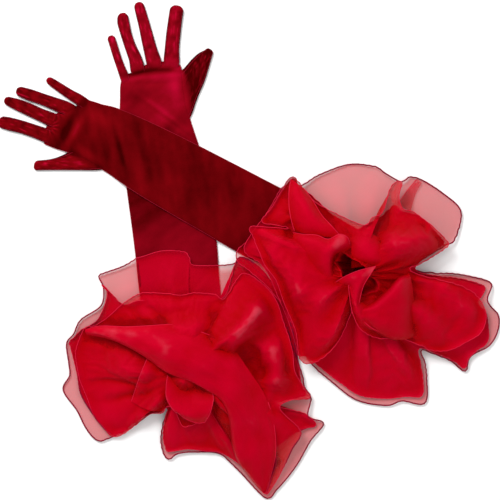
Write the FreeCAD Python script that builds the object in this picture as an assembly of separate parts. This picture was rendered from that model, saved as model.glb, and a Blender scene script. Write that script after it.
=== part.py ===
import FreeCAD, Part
import math
import os

# A pair of opera gloves lying flat, the right one across the left arm.
# Units are mm. The table is z = 0 and the origin is under the middle of the pair.

os.makedirs("parts", exist_ok=True)

# Cloth and seams
PANEL = 1.0            # one layer of glove cloth
SEAM_WIDTH = 3.0       # folded seam allowance along each side
SEAM_TOP = 2.0         # top of the folded seam above the palm's underside
FINGER_HEIGHT = 5.0    # a finger lying flat
WALL = 1.2             # the side strips of a finger
HINGE_GAP = 0.6        # between a finger or thumb and the hand

# Mouth of each glove
BAND_LENGTH = 8.0      # stitched band the ruffle hangs from
ELASTIC_LENGTH = 8.0
ELASTIC = 0.8
ELASTIC_CLEARANCE = 0.5

# Ruffles
TIER = 2.0             # how thick a gathered tier is made
HEM_WIDTH = 3.0
HEM_HEIGHT = 1.5
UPPER_RIM = 21.5       # the upper tier's rim lies over the arm
THROAT_TOP = 58.0      # the gathers stand up round the throat
THROAT_AHEAD = 20.0    # throat middle beyond the glove's mouth
THROAT_LONG = 27.0
THROAT_WIDE = 21.0
ARM_CLEARANCE = 1.0

# The right glove rides over the left arm
BRIDGE = 10.5


class Lay:
    """Where one glove lies: a point of its hand, where its fingers point, its thumb side."""

    def __init__(self, x, y, heading, thumb_side):
        self.x = x
        self.y = y
        self.fx = math.cos(math.radians(heading))
        self.fy = math.sin(math.radians(heading))
        self.tx = thumb_side * self.fy
        self.ty = -thumb_side * self.fx

    def at(self, across, along, z=0.0):
        """A point given across the glove towards the thumb and along it to the fingertips."""
        x = self.x + across * self.tx + along * self.fx
        y = self.y + across * self.ty + along * self.fy
        return FreeCAD.Vector(x, y, z)


def line(a, b):
    return Part.makeLine(a, b)


def arc(a, b, c):
    return Part.Arc(a, b, c).toShape()


def prism(wire, height):
    return Part.Face(wire).extrude(FreeCAD.Vector(0, 0, height))


def polygon(points):
    return Part.makePolygon(points + [points[0]])


def export(name, shape):
    shape.exportStep("parts/" + name + ".step")


# ---- fingers -----------------------------------------------------------------------------


def finger_wire(lay, finger, inset, back, z):
    """Outline of a finger: two sides drawn in to a round tip, moved in by `inset`."""
    base_a, base_l = finger["base"]
    tip_a, tip_l = finger["tip"]
    length = math.hypot(tip_a - base_a, tip_l - base_l)
    ua = (tip_a - base_a) / length
    ul = (tip_l - base_l) / length
    half_base = finger["base_width"] / 2 - inset
    half_tip = finger["tip_width"] / 2 - inset

    def at(along, side):
        return lay.at(base_a + ua * along - ul * side, base_l + ul * along + ua * side, z)

    end = length - inset
    shoulder = end - half_tip
    near_left = at(back, -half_base)
    near_right = at(back, half_base)
    far_left = at(shoulder, -half_tip)
    far_right = at(shoulder, half_tip)
    return Part.Wire([
        line(near_left, far_left),
        arc(far_left, at(end, 0), far_right),
        line(far_right, near_right),
        line(near_right, near_left),
    ])


def make_finger(lay, side, name, finger):
    start = HINGE_GAP / 2
    front = prism(finger_wire(lay, finger, 0, start, 0), PANEL)
    wall_height = FINGER_HEIGHT - 2 * PANEL
    walls = prism(finger_wire(lay, finger, 0, start, PANEL), wall_height)
    hollow = prism(finger_wire(lay, finger, WALL, start - 2, PANEL - 1), wall_height + 2)
    back = prism(finger_wire(lay, finger, 0, start, FINGER_HEIGHT - PANEL), PANEL)
    export(side + "_" + name + "_front", front)
    export(side + "_" + name + "_fourchettes", walls.cut(hollow))
    export(side + "_" + name + "_back", back)


def thumb_wire(lay, thumb, z):
    """Outline of the thumb: straight root on the hand's edge, three round stretches."""
    points = [lay.at(a, l, z) for a, l in thumb]
    return Part.Wire([
        arc(points[0], points[1], points[2]),
        arc(points[2], points[3], points[4]),
        arc(points[4], points[5], points[6]),
        line(points[6], points[0]),
    ])


def make_thumb(lay, side, thumb):
    outline = thumb_wire(lay, thumb, 0)
    front = prism(outline, PANEL)
    inner = outline.makeOffset2D(-WALL, join=2)
    hollow = Part.Face(inner).extrude(FreeCAD.Vector(0, 0, FINGER_HEIGHT - 2 * PANEL))
    hollow.translate(FreeCAD.Vector(0, 0, PANEL))
    back = prism(thumb_wire(lay, thumb, PANEL), FINGER_HEIGHT - PANEL).cut(hollow)
    export(side + "_thumb_front", front)
    export(side + "_thumb_back", back)


# ---- hand and arm ------------------------------------------------------------------------


def station_wire(lay, station, kind):
    """One cross-section of the hand or arm; `kind` picks the panel it belongs to."""
    along, left, right, base, crown = station
    middle = (left + right) / 2
    top = base + crown

    def at(across, z):
        return lay.at(across, along, z)

    def box(low_a, high_a, low_z, high_z):
        return polygon([at(low_a, low_z), at(high_a, low_z), at(high_a, high_z), at(low_a, high_z)])

    if kind == "palm":
        return box(left, right, base, base + PANEL)
    if kind == "left seam":
        return box(left, left + SEAM_WIDTH, base + PANEL, base + SEAM_TOP)
    if kind == "right seam":
        return box(right - SEAM_WIDTH, right, base + PANEL, base + SEAM_TOP)
    seam = base + SEAM_TOP
    inner_left = at(left + SEAM_WIDTH, seam)
    inner_right = at(right - SEAM_WIDTH, seam)
    return Part.Wire([
        line(at(left, seam), inner_left),
        arc(inner_left, at(middle, top - PANEL), inner_right),
        line(inner_right, at(right, seam)),
        arc(at(right, seam), at(middle, top), at(left, seam)),
    ])


def sleeve(lay, stations, kind, joins):
    """One panel, made up of lengths that meet at the stations named in `joins`."""
    lengths = []
    wires = []
    for station in stations:
        wires.append(station_wire(lay, station, kind))
        if station[0] in joins or station is stations[-1]:
            lengths.append(Part.makeLoft(wires, True, True))
            wires = [station_wire(lay, station, kind)]
    return lengths


def beyond_fingers(lay, fingers):
    """Everything in front of the finger roots, to cut off the hand panels."""
    roots = []
    for finger in fingers:
        base_a, base_l = finger["base"]
        tip_a, tip_l = finger["tip"]
        length = math.hypot(tip_a - base_a, tip_l - base_l)
        ua = (tip_a - base_a) / length
        ul = (tip_l - base_l) / length
        half = finger["base_width"] / 2
        for side in (-half, half):
            across = base_a - ua * HINGE_GAP / 2 + ul * side
            along = base_l - ul * HINGE_GAP / 2 - ua * side
            roots.append((across, along))
    first = roots[0]
    last = roots[-1]
    ring = [(-120, first[1])] + roots + [(120, last[1]), (120, 300), (-120, 300)]
    return prism(polygon([lay.at(a, l, -5) for a, l in ring]), 40)


def lens(lay, along, left, right, low, side_top, crown):
    """Flat-bottomed arched section of a sleeve's mouth, as a face."""
    points = [
        lay.at(left, along, low),
        lay.at(right, along, low),
        lay.at(right, along, side_top),
        lay.at((left + right) / 2, along, crown),
        lay.at(left, along, side_top),
    ]
    return Part.Face(Part.Wire([
        line(points[0], points[1]),
        line(points[1], points[2]),
        arc(points[2], points[3], points[4]),
        line(points[4], points[0]),
    ]))


def backwards(lay, length):
    return lay.at(0, -length).sub(lay.at(0, 0))


def make_bands(lay, side, stations):
    along, left, right, base, crown = stations[-1]
    rise = base + SEAM_TOP
    outer = lens(lay, along, left, right, base, rise, base + crown)
    outer = outer.extrude(backwards(lay, BAND_LENGTH))
    inset = SEAM_WIDTH
    inner = lens(lay, along, left + inset, right - inset, base + PANEL, rise, base + crown - PANEL)
    inner = inner.extrude(backwards(lay, BAND_LENGTH))
    export(side + "_cuff_band", outer.cut(inner))
    gap = ELASTIC_CLEARANCE
    low = base + PANEL + gap
    inset = SEAM_WIDTH + 3
    top = base + crown - PANEL - 2 * gap
    start = along + 2 + ELASTIC_LENGTH
    side_top = rise + 2 * gap
    ring = lens(lay, start, left + inset, right - inset, low, side_top, top)
    ring = ring.extrude(backwards(lay, ELASTIC_LENGTH))
    inset = inset + ELASTIC
    side_top = side_top - ELASTIC / 4
    hole = lens(lay, start, left + inset, right - inset, low + ELASTIC, side_top, top - ELASTIC)
    hole = hole.extrude(backwards(lay, ELASTIC_LENGTH))
    export(side + "_elastic_band", ring.cut(hole))
    return outer


def make_sleeve(lay, side, stations, joins, fingers):
    beyond = beyond_fingers(lay, fingers)

    def trimmed(kind, places):
        return [length.cut(beyond) for length in sleeve(lay, stations, kind, places)]

    export(side + "_back_panel", Part.makeCompound(trimmed("back", joins)))
    export(side + "_palm_panel", Part.makeCompound(trimmed("palm", joins)))
    seams = trimmed("left seam", ()) + trimmed("right seam", ())
    export(side + "_side_seams", Part.makeCompound(seams))


# ---- ruffles -----------------------------------------------------------------------------


def lobes(outline, z):
    """A closed ruffle edge. The outline alternates between folds and the tops of lobes."""
    points = [FreeCAD.Vector(x, y, z) for x, y in outline]
    edges = []
    for i in range(0, len(points), 2):
        edges.append(arc(points[i], points[i + 1], points[(i + 2) % len(points)]))
    return Part.Wire(edges)


def throat_wire(lay, middle, outline, grow, z):
    """The oval throat, split at the same bearings as the ruffle's outline."""
    cx, cy = middle.x, middle.y
    axis = math.atan2(lay.ty, lay.tx)

    def at(bearing):
        turned = bearing - axis
        reach_a = math.cos(turned) / (THROAT_LONG + grow)
        reach_l = math.sin(turned) / (THROAT_WIDE + grow)
        reach = 1 / math.hypot(reach_a, reach_l)
        return FreeCAD.Vector(cx + reach * math.cos(bearing), cy + reach * math.sin(bearing), z)

    bearings = [math.atan2(y - cy, x - cx) for x, y in outline]
    edges = []
    for i in range(0, len(bearings), 2):
        start = bearings[i]
        end = bearings[(i + 2) % len(bearings)]
        sweep = (end - start + math.pi) % (2 * math.pi) - math.pi
        edges.append(arc(at(start), at(start + sweep / 2), at(start + sweep)))
    return Part.Wire(edges)


def mound(lay, middle, outline):
    rim = lobes(outline, UPPER_RIM)
    throat = throat_wire(lay, middle, outline, 0, THROAT_TOP)
    return Part.makeLoft([rim, throat], True, True)


def drawn_in(outline, middle):
    """The same outline moved towards the throat by the width of a hem."""
    moved = []
    for x, y in outline:
        reach = math.hypot(x - middle.x, y - middle.y)
        share = 1 - HEM_WIDTH / reach
        moved.append((middle.x + (x - middle.x) * share, middle.y + (y - middle.y) * share))
    return moved


def throat_middle(lay, stations):
    along, left, right, base, crown = stations[-1]
    return lay.at((left + right) / 2, along - THROAT_AHEAD)


def make_upper_tier(lay, side, stations, outline, band):
    along, left, right, base, crown = stations[-1]
    across = (left + right) / 2
    middle = throat_middle(lay, stations)
    full = mound(lay, middle, outline)
    under = full.copy()
    under.translate(FreeCAD.Vector(0, 0, -TIER))
    throat = throat_wire(lay, middle, outline, 1, 0)
    throat = prism(throat, 2 * THROAT_TOP)
    export(side + "_upper_ruffle", full.cut(under).cut(throat))
    hem = prism(lobes(outline, UPPER_RIM - HEM_HEIGHT), HEM_HEIGHT)
    inside = prism(lobes(drawn_in(outline, middle), UPPER_RIM - HEM_HEIGHT), HEM_HEIGHT)
    export(side + "_upper_hem", hem.cut(inside))
    # The gathers stand on the band and carry the upper tier.
    half = (right - left) / 4
    near = along
    far = along - BAND_LENGTH
    low = base + crown / 2
    corners = [(across - half, near), (across + half, near), (across + half, far), (across - half, far)]
    pillar = prism(polygon([lay.at(a, l, low) for a, l in corners]), 2 * THROAT_TOP)
    top = under.copy()
    skirt = prism(lobes(outline, 0), UPPER_RIM - TIER)
    gathers = pillar.common(top.fuse(skirt)).cut(band).cut(throat)
    export(side + "_ruffle_gathers", gathers)


def make_lower_tier(lay, side, stations, outline):
    whole = prism(lobes(outline, 0), TIER)
    sheet = prism(lobes(drawn_in(outline, throat_middle(lay, stations)), 0), TIER)
    along = stations[-1][0]
    corridor = []
    for station in stations:
        if station[0] < -100:
            corridor.append((station[1] - ARM_CLEARANCE, station[0]))
    corridor.append((stations[-1][1] - ARM_CLEARANCE, along - BAND_LENGTH))
    corridor.append((stations[-1][2] + ARM_CLEARANCE, along - BAND_LENGTH))
    for station in reversed(stations):
        if station[0] < -100:
            corridor.append((station[2] + ARM_CLEARANCE, station[0]))
    arm = prism(polygon([lay.at(a, l, -1) for a, l in corridor]), 2 * TIER + 2)
    export(side + "_lower_ruffle", sheet.cut(arm))
    export(side + "_lower_hem", whole.cut(sheet).cut(arm))


def make_glove(side, lay, fingers, thumb, stations, joins, lower, upper):
    for name in ("little", "ring", "middle", "index"):
        make_finger(lay, side, name, fingers[name])
    make_thumb(lay, side, thumb)
    make_sleeve(lay, side, stations, joins, list(fingers.values()))
    band = make_bands(lay, side, stations)
    make_lower_tier(lay, side, stations, lower)
    make_upper_tier(lay, side, stations, upper, band)


# ---- left glove: upright, underneath -----------------------------------------------------

LEFT = Lay(-137.2, 169.5, 97.3, 1)

LEFT_FINGERS = {
    "little": {"base": (-39.5, 97), "tip": (-50.5, 160.5), "base_width": 14, "tip_width": 12},
    "ring": {"base": (-18.3, 106), "tip": (-30.5, 192), "base_width": 21, "tip_width": 17},
    "middle": {"base": (7.5, 111), "tip": (-3.5, 204.8), "base_width": 22, "tip_width": 16},
    "index": {"base": (33.5, 110.5), "tip": (52.5, 191.5), "base_width": 23, "tip_width": 19},
}

LEFT_THUMB = [
    (49, 91),
    (64.5, 110.5),
    (83, 120.6),
    (94, 120.5),
    (95.6, 110),
    (77, 69),
    (52.5, 20),
]

# Each station: along, edge away from the thumb, edge on the thumb side, underside, crown
LEFT_STATIONS = [
    (118, -42, 45, 0, 6),
    (92, -46.8, 46.8, 0, 6),
    (46, -52.8, 47.6, 0, 6.5),
    (20, -54, 50.4, 0, 7),
    (-22, -56.5, 58, 0, 8),
    (-66, -57.2, 61, 0, 8.5),
    (-170, -56.8, 67, 0, 9.5),
    (-220, -58, 63, 0, 12),
    (-352, -54, 58, 0, 18),
]

# Wrist and elbow, where one length of the panels meets the next
LEFT_JOINS = (-22, -170)

LEFT_LOWER = [
    (-171, -16), (-200, -24), (-224, -44), (-217, -64), (-226, -85), (-258, -113),
    (-273, -150), (-279, -200), (-258, -246), (-240, -272), (-222, -286), (-180, -262),
    (-128, -237), (-137, -272), (-122, -312), (-84, -298), (-40, -310), (-12, -346),
    (21, -370), (72, -322), (108, -260), (91, -240), (80, -205), (74, -185),
    (69, -168), (56, -105), (36, -48), (18, -34), (-9, -17), (-90, -20),
]

LEFT_UPPER = [
    (-165, -20), (-132, -3), (-98, -8), (-55, -22), (-12, -19), (12, -52),
    (36, -105), (46, -145), (46, -185), (70, -235), (74, -270), (50, -305),
    (18, -335), (-20, -316), (-45, -288), (-80, -276), (-112, -286), (-124, -262),
    (-126, -242), (-170, -262), (-213, -268), (-246, -225), (-253, -165), (-240, -118),
    (-207, -86), (-200, -50),
]

# ---- right glove: diagonal, on top -------------------------------------------------------

RIGHT = Lay(-205.5, 162.0, 151.3, -1)

RIGHT_FINGERS = {
    "little": {"base": (-30, 75), "tip": (-35.5, 131.5), "base_width": 14, "tip_width": 12},
    "ring": {"base": (-9.3, 88), "tip": (2, 165), "base_width": 21, "tip_width": 17},
    "middle": {"base": (14, 96), "tip": (22.5, 173), "base_width": 21, "tip_width": 15},
    "index": {"base": (38.5, 93), "tip": (54.5, 162), "base_width": 22, "tip_width": 18},
}

RIGHT_THUMB = [
    (45.5, 48.5),
    (66, 66),
    (78.3, 85.5),
    (87.5, 90.5),
    (92.1, 81.4),
    (74, 44),
    (45.5, -8),
]

RIGHT_STATIONS = [
    (118, -29, 54, 0, 6),
    (78, -36.8, 49.6, 0, 6),
    (48, -42.2, 44, 0, 6),
    (35, -44.4, 43.8, 0, 6.2),
    (-15, -51, 44.4, BRIDGE, 6.5),
    (-50, -53.5, 48.6, BRIDGE, 7),
    (-130, -57, 52.4, BRIDGE, 8),
    (-185, -58.5, 53.5, BRIDGE, 9),
    (-245, -59.7, 55, 0, 11),
    (-407, -62, 40, 0, 17),
]

# The ends of the stretch that rides over the left arm, and the elbow
RIGHT_JOINS = (-15, -185, -245)

RIGHT_LOWER = [
    (48, 91), (59, 107), (73, 103), (148, 130), (226, 103), (303, 74),
    (290, 9), (264, -10), (242, -24), (305, -34), (361, -50), (371, -100),
    (335, -156), (330, -170), (321, -183), (288, -165), (256, -152), (266, -192),
    (262, -231), (198, -233), (126, -203), (100, -180), (75, -165), (63, -105),
    (43, -50), (35, 20),
]

RIGHT_UPPER = [
    (3, 33), (22, 62), (46, 84), (120, 96), (205, 72), (262, 52),
    (283, 10), (262, -12), (238, -30), (292, -48), (330, -85), (322, -125),
    (290, -150), (262, -146), (240, -155), (233, -195), (200, -212), (152, -202),
    (110, -172), (88, -160), (64, -160), (50, -100), (30, -35), (10, -4),
]

make_glove(
    "left", LEFT, LEFT_FINGERS, LEFT_THUMB, LEFT_STATIONS, LEFT_JOINS, LEFT_LOWER, LEFT_UPPER
)
make_glove(
    "right", RIGHT, RIGHT_FINGERS, RIGHT_THUMB, RIGHT_STATIONS, RIGHT_JOINS, RIGHT_LOWER, RIGHT_UPPER
)
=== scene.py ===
import math
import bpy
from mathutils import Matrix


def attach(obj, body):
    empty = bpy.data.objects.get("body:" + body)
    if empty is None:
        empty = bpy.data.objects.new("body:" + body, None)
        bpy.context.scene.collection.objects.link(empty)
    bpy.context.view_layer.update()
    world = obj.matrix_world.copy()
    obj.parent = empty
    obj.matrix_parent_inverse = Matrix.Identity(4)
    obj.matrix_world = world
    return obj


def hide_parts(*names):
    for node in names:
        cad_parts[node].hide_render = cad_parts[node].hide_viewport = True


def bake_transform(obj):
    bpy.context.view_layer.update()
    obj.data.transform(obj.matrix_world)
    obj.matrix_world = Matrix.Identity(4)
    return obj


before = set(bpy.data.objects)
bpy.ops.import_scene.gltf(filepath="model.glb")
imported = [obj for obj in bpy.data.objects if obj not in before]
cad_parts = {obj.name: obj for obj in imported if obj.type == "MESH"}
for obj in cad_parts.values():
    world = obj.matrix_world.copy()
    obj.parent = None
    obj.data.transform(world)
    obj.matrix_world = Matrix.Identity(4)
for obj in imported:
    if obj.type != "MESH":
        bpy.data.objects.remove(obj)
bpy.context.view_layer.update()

from types import SimpleNamespace

import bpy
import numpy as np
from mathutils import noise, Vector

# Everything below is worked out in millimetres and turned into metres in make_mesh().
MM = 0.001


# ---- where the two gloves lie: across (a) and along (l) each one, from its palm ----


class Lay:
    """Where a glove lies: its origin at the palm, its heading and the side its thumb is on."""

    def __init__(self, x, y, heading, thumb_side):
        self.origin = np.array([x, y])
        self.thumb_side = thumb_side
        h = math.radians(heading)
        self.ahead = np.array([math.cos(h), math.sin(h)])
        self.across = thumb_side * np.array([self.ahead[1], -self.ahead[0]])

    def at(self, a, l):
        """World x, y of points given across the glove and along it."""
        a, l = np.asarray(a, float), np.asarray(l, float)
        return self.origin + a[..., None] * self.across + l[..., None] * self.ahead

    def local(self, xy):
        d = np.asarray(xy, float) - self.origin
        return d @ self.across, d @ self.ahead


LEFT = Lay(-137.2, 169.5, 97.3, 1)
RIGHT = Lay(-205.5, 162.0, 151.3, -1)

# along, edge away from the thumb, thumb edge, crown
LEFT_STATIONS = np.array([
    (112, -40, 45, 5.6), (92, -46.8, 46.8, 6.2), (70, -49.8, 47.2, 6.6), (46, -52.8, 47.6, 6.8),
    (20, -54, 50.4, 7.0), (-22, -56.5, 58, 7.6), (-66, -57.2, 61.5, 8.2), (-120, -56.8, 64.5, 9.0),
    (-170, -56.8, 66, 9.8), (-220, -58, 63, 12.0), (-290, -56.5, 60.5, 15.0), (-352, -52, 57, 18.0),
])
RIGHT_STATIONS = np.array([
    (112, -34, 53, 5.6), (78, -39.3, 49.6, 6.2), (48, -42.0, 44.6, 6.6), (20, -47, 43.6, 6.8),
    (-15, -51, 44.6, 7.0), (-50, -53.5, 48.6, 7.4), (-130, -57, 52.4, 8.2), (-185, -58.5, 53.5, 9.2),
    (-245, -59.7, 55, 11.0), (-320, -62, 50, 14.0), (-407, -61, 39, 17.0),
])


def smooth_interp(x, xs, ys):
    """Cubic (Catmull-Rom) interpolation through stations with rising xs."""
    xs, ys = np.asarray(xs, float), np.asarray(ys, float)
    m = np.gradient(ys, xs)
    x = np.clip(x, xs[0], xs[-1])
    i = np.clip(np.searchsorted(xs, x) - 1, 0, len(xs) - 2)
    h = xs[i + 1] - xs[i]
    s = (x - xs[i]) / h
    return ((2 * s**3 - 3 * s**2 + 1) * ys[i] + (s**3 - 2 * s**2 + s) * h * m[i]
            + (-2 * s**3 + 3 * s**2) * ys[i + 1] + (s**3 - s**2) * h * m[i + 1])


def profile(stations, l):
    order = stations[::-1]
    return [smooth_interp(l, order[:, 0], order[:, k]) for k in (1, 2, 3)]


def smoothstep(a, b, x):
    s = np.clip((x - a) / (b - a), 0, 1)
    return s * s * (3 - 2 * s)


def ridge(x, width):
    return np.exp(-((x / width) ** 2))


def lengths(v):
    return np.linalg.norm(v, axis=-1)


def unit(v):
    """Vectors of length 1 along the last axis."""
    return v / np.maximum(np.linalg.norm(v, axis=-1, keepdims=True), 1e-9)


def fbm(x, y, scale, seed, octaves=3):
    """Smooth noise of about -1..1 at points in mm; `scale` is the size of its bumps."""
    x, y = np.broadcast_arrays(np.asarray(x, float), np.asarray(y, float))
    out = np.empty(x.size)
    for i, (px, py) in enumerate(zip(x.ravel(), y.ravel())):
        v, amp, f = 0.0, 1.0, 1.0 / scale
        for _ in range(octaves):
            v += amp * noise.noise(Vector((px * f, py * f, seed)))
            amp *= 0.5
            f *= 2.03
        out[i] = v
    return out.reshape(x.shape)


# ---- meshes ----


def make_mesh(name, verts, faces, smooth=True):
    mesh = bpy.data.meshes.new(name)
    mesh.from_pydata((np.asarray(verts, float).reshape(-1, 3) * MM).tolist(), [], faces)
    mesh.update()
    if smooth:
        mesh.shade_smooth()
    obj = bpy.data.objects.new(name, mesh)
    bpy.context.scene.collection.objects.link(obj)
    return obj


def grid_faces(rows, cols, wrap_cols=False, start=0):
    faces = []
    for r in range(rows - 1):
        for c in range(cols if wrap_cols else cols - 1):
            a = start + r * cols + c
            b = start + r * cols + (c + 1) % cols
            faces.append((a, b, b + cols, a + cols))
    return faces


def set_float(obj, name, values):
    attr = obj.data.attributes.new(name, "FLOAT", "POINT")
    attr.data.foreach_set("value", np.asarray(values, np.float32).ravel())


def tube_shape(path, radius, sides, closed=False, start=0):
    """Points and faces of a thin tube along a path; an open tube has capped ends."""
    path = np.asarray(path, float)
    n = len(path)
    radius = np.broadcast_to(np.asarray(radius, float), (n,))[:, None, None]
    ahead = np.roll(path, -1, 0) - np.roll(path, 1, 0) if closed else np.gradient(path, axis=0)
    tangent = unit(ahead)
    side = unit(np.cross(tangent, (0.0, 0.0, 1.0)))[:, None]
    normal = np.cross(side, tangent[:, None])
    angle = np.linspace(0, 2 * math.pi, sides, endpoint=False)[None, :, None]
    ring = path[:, None] + radius * (np.cos(angle) * side + np.sin(angle) * normal)
    faces = grid_faces(n, sides, True, start)
    last = start + (n - 1) * sides
    if closed:
        for c in range(sides):
            after = (c + 1) % sides
            faces.append((last + c, last + after, start + after, start + c))
    else:
        faces.append(tuple(range(start, start + sides))[::-1])
        faces.append(tuple(range(last, last + sides)))
    return ring.reshape(-1, 3), faces


def stitch_line(name, path, radius):
    return dress(make_mesh(name, *tube_shape(path, radius, 6)), SEAM)


# ---- materials ----


class Nodes:
    """A short way to write a procedural material."""

    def __init__(self, name):
        self.mat = bpy.data.materials.new(name)
        self.mat.use_nodes = True
        self.tree = self.mat.node_tree
        self.bsdf = self.tree.nodes["Principled BSDF"]
        self.coords = self.node("ShaderNodeTexCoord").outputs["Object"]

    def node(self, kind, inputs=(), **settings):
        n = self.tree.nodes.new(kind)
        for key, value in settings.items():
            setattr(n, key, value)
        for key, value in dict(inputs).items():
            self.put(n.inputs[key], value)
        return n

    def put(self, socket, value):
        if isinstance(value, bpy.types.NodeSocket):
            self.tree.links.new(value, socket)
        elif isinstance(value, tuple):
            socket.default_value = (*value, 1.0)
        else:
            socket.default_value = value

    def surface(self, values):
        for name, value in values.items():
            self.put(self.bsdf.inputs[name], value)

    def noise(self, scale, detail, rough):
        return self.node("ShaderNodeTexNoise", {
            "Vector": self.coords, "Scale": scale, "Detail": detail, "Roughness": rough}).outputs["Fac"]

    def threads(self, direction):
        """Fine parallel threads, for one direction of a weave."""
        return self.node("ShaderNodeTexWave", {"Vector": self.coords, "Scale": 900.0, "Distortion": 1.5},
                         wave_type="BANDS", bands_direction=direction).outputs["Fac"]

    def attribute(self, name):
        return self.node("ShaderNodeAttribute", attribute_name=name).outputs["Fac"]

    def ramp(self, fac, stops):
        n = self.node("ShaderNodeValToRGB", {"Fac": fac})
        ramp = n.color_ramp
        while len(ramp.elements) < len(stops):
            ramp.elements.new(0.5)
        for element, (place, colour) in zip(ramp.elements, stops):
            element.position = place
            element.color = (*colour, 1.0)
        return n.outputs["Color"]

    def mix(self, fac, a, b, mode="MIX"):
        n = self.node("ShaderNodeMix", {0: fac, 6: a, 7: b}, data_type="RGBA", blend_type=mode)
        return n.outputs[2]

    def math(self, op, a, b, clamp=False):
        return self.node("ShaderNodeMath", {0: a, 1: b}, operation=op, use_clamp=clamp).outputs[0]

    def total(self, plus, *terms, clamp=False):
        """A number plus (value, weight) terms."""
        for i, (value, weight) in enumerate(terms, 1):
            part = self.math("MULTIPLY", value, weight)
            plus = self.math("ADD", part, plus, clamp and i == len(terms))
        return plus

    def bump(self, height, strength, distance):
        return self.node("ShaderNodeBump", {
            "Height": height, "Strength": strength, "Distance": distance}).outputs["Normal"]


def velvet(name, dark, mid, light):
    """Stretch velvet with a bright sheen at grazing angles. Its colour follows a value per point that is
    partly how the pile lies and partly painted light: painted shade in creases, fold valleys and on the
    sides of fingers, and painted highlights on ridges, puckers and streaks.
    """
    m = Nodes(name)
    broad = m.noise(9.0, 2.0, 0.5)
    cloudy = m.noise(60.0, 4.0, 0.6)
    fine = m.noise(900.0, 2.0, 0.7)
    pile = m.noise(1400.0, 2.0, 0.8)
    crush = m.noise(160.0, 3.0, 0.6)
    value = m.total(-0.24, (broad, 0.20), (cloudy, 0.16), (fine, 0.12), (m.attribute("nap"), 1.0))
    m.surface({
        "Base Color": m.ramp(value, [(0.12, dark), (0.5, mid), (0.88, light)]),
        "Roughness": 0.60, "Specular IOR Level": 0.03, "Specular Tint": (1.0, 0.05, 0.12),
        "Sheen Weight": 0.30, "Sheen Roughness": 0.30, "Sheen Tint": (1.0, 0.0, 0.05),
        "Normal": m.bump(m.total(0.0, (pile, 0.35), (crush, 0.9)), 0.45, 0.0007)})
    return m.mat


def organza(name, painted_crest_light, hollow, bottom, alpha):
    """Crisp sheer cloth: see-through in one layer, dense in several. Its colour carries painted light:
    painted shade, deeper red down in its folds and under other folds, and painted highlights, lighter and
    pinker on its crests up to a painted glint.
    """
    m = Nodes(name)
    cloudy = m.noise(26.0, 3.0, 0.5)
    fine = m.noise(1100.0, 2.0, 0.6)
    gather = m.attribute("gather")
    # The colour runs from painted deep shade low in the folds and under other folds, through painted
    # hollow shade, to the lighter crest colour and a painted glint on the highest crests.
    height = m.total(-0.525, (cloudy, 0.8), (fine, 0.25), (m.attribute("painted_crest_light"), 1.0))
    glint = (painted_crest_light[0] * 1.06, painted_crest_light[1] + 0.040, painted_crest_light[2] + 0.052)
    colour = m.ramp(height, [(0.0, bottom), (0.13, hollow), (0.76, painted_crest_light), (1.0, glint)])
    packed = m.math("MULTIPLY", gather, 0.5, True)
    weave = m.math("MULTIPLY", m.threads("X"), m.threads("Y"))
    m.surface({
        "Base Color": m.mix(packed, colour, (0.62, 0.60, 0.60), "MULTIPLY"),
        "Alpha": m.total(alpha - 0.05, (fine, 0.10), (gather, 0.30), clamp=True),
        "Roughness": 0.50, "Specular IOR Level": 0.24, "Specular Tint": (1.0, 0.02, 0.12),
        "Sheen Weight": 0.05, "Sheen Roughness": 0.35, "Sheen Tint": (1.0, 0.05, 0.16),
        "Normal": m.bump(weave, 0.12, 0.0002)})
    return m.mat


def thread(name, colours, outer=None):
    """Close satin stitches round a thin cord. With `outer` colours, one thread is painted in two lights:
    lighter pink on hems lying on cloth, as painted highlights, and dark red on hems over bare table.
    """
    m = Nodes(name)
    fuzz = m.noise(500.0, 2.0, 0.6)
    value = m.total(0.0, (fuzz, 0.5), (m.noise(60.0, 2.0, 0.5), 0.5))
    colour = m.ramp(value, list(zip((0.3, 0.75), colours)))
    if outer:
        colour = m.mix(m.attribute("outer"), colour, m.ramp(value, list(zip((0.3, 0.75), outer))))
    m.surface({"Base Color": colour, "Roughness": 0.55, "Specular IOR Level": 0.08,
               "Normal": m.bump(fuzz, 0.4, 0.0003)})
    return m.mat


VELVET_LEFT = velvet("velvet_left", (0.045, 0.0, 0.0), (0.20, 0.001, 0.006), (0.42, 0.002, 0.026))
VELVET_RIGHT = velvet("velvet_right", (0.035, 0.0, 0.0), (0.17, 0.001, 0.003), (0.38, 0.002, 0.022))
# Each organza: its colour on crests, its painted hollow shade, its painted deep shade lowest in the
# folds, then its alpha.
ORGANZA_UP = organza("organza_upper", (0.58, 0.0, 0.017), (0.44, 0.0, 0.001), (0.30, 0.0, 0.0), 0.72)
ORGANZA_LOW = organza("organza_lower", (0.64, 0.0, 0.020), (0.52, 0.0, 0.003), (0.46, 0.0, 0.002), 0.54)
# A darker copy of the organza: painted shade for the neck deep in the throat.
ORGANZA_NECK_SHADED = organza("organza_gathers_shaded", (0.50, 0.0, 0.010), (0.30, 0.0, 0.0), (0.12, 0.0, 0.0), 0.85)
# The hem thread in two painted lights: a lighter pink where it lies on cloth, as painted highlight, and
# dark red over bare table.
HEM = thread("hem_thread", ((0.52, 0.002, 0.025), (0.68, 0.012, 0.05)),
             ((0.14, 0.0, 0.012), (0.30, 0.002, 0.03)))
SEAM = thread("seam_thread", ((0.16, 0.0, 0.006), (0.42, 0.006, 0.03)))
ELASTIC = thread("elastic_rib", ((0.05, 0.0, 0.004), (0.16, 0.002, 0.012)))


def dress(obj, material):
    obj.data.materials.clear()
    obj.data.materials.append(material)
    return obj


# ---- heights: what a point in the air can come to rest on ----

CELL = 3.0
CORNER = -420.0
CELLS = 281
CENTRES = np.meshgrid(*[CORNER + CELL * np.arange(CELLS)] * 2, indexing="ij")


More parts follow.
